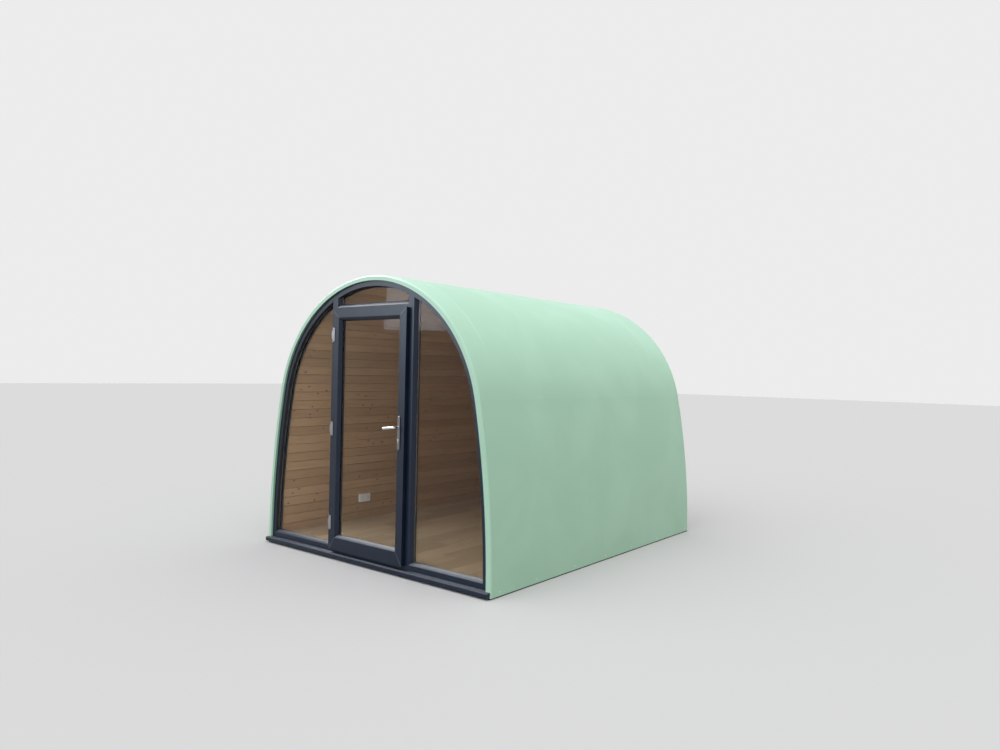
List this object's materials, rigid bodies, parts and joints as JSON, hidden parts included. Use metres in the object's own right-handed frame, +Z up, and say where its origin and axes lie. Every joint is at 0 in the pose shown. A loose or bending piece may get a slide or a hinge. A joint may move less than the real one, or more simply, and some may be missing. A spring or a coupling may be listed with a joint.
{
  "type": "garden office pod",
  "caption": "Arched garden office pod with a moulded insulated shell, a glazed front with an outward-opening door, a board-lined room and a flat base.",
  "frame": {"origin": "middle of the arched shell's footprint, on the ground", "axes": "+X to the right seen from the front, +Y from the glazed front to the rear wall, +Z up"},
  "size_m": [2.792, 3.4898, 2.5],
  "materials": {
    "shell": "satin gel-coat on glass-reinforced plastic",
    "insulated_core": "insulated timber panel",
    "lining_pine": "clear satin varnish",
    "floor_wood": "matt laminate boards",
    "plywood": "bare plywood",
    "base_black": "black membrane over treated timber",
    "frame_grey": "satin anthracite powder coat",
    "glass": "clear sealed double glazing",
    "gasket": "matt black",
    "hinge_silver": "silver coated",
    "handle_steel": "polished",
    "socket_white": "gloss white"
  },
  "bodies": {
    "root": {"base_sheet": "base_black", "ceiling_lining": "lining_pine", "fanlight_bead": "frame_grey", "fanlight_glass": "glass", "floor_boards": "floor_wood", "floor_cassette": "base_black", "floor_deck": "plywood", "frame_bottom_rail": "frame_grey", "frame_head": "frame_grey", "frame_left_jamb": "frame_grey", "frame_right_jamb": "frame_grey", "hinge_frame_halves": "hinge_silver", "left_bead": "frame_grey", "left_glass": "glass", "left_mullion": "frame_grey", "left_roof_core": "insulated_core", "left_shoulder_core": "insulated_core", "left_wall_core": "insulated_core", "left_wall_lining": "lining_pine", "outer_shell": "shell", "rear_wall_core": "insulated_core", "rear_wall_lining": "lining_pine", "rear_wall_skin": "shell", "right_bead": "frame_grey", "right_glass": "glass", "right_mullion": "frame_grey", "right_roof_core": "insulated_core", "right_shoulder_core": "insulated_core", "right_wall_core": "insulated_core", "right_wall_lining": "lining_pine", "sill": "frame_grey", "sill_end_caps": "frame_grey", "transom": "frame_grey", "wall_socket": "socket_white"},
    "door": {"door_left_stile": "frame_grey", "door_right_stile": "frame_grey", "door_top_rail": "frame_grey", "door_bottom_rail": "frame_grey", "door_bead": "frame_grey", "door_glass": "glass", "door_gasket": "gasket", "hinge_leaf_halves": "hinge_silver", "outside_handle_plate": "handle_steel", "inside_handle_plate": "handle_steel", "lock_cylinder": "handle_steel"},
    "lever": {"outside_lever": "handle_steel", "inside_lever": "handle_steel"}
  },
  "joints": [
    {"name": "door_swing", "type": "hinge", "parent": "root", "child": "door", "pos_m": [-0.477, -1.705, 1.15], "axis": [0, 0, -1], "range_deg": [0, 105]},
    {"name": "lever_turn", "type": "hinge", "parent": "door", "child": "lever", "pos_m": [0.407, -1.72, 1.222], "axis": [0, -1, 0], "range_deg": [0, 40], "stiffness_Nm_per_rad": 2, "springref_deg": -8.59}
  ]
}
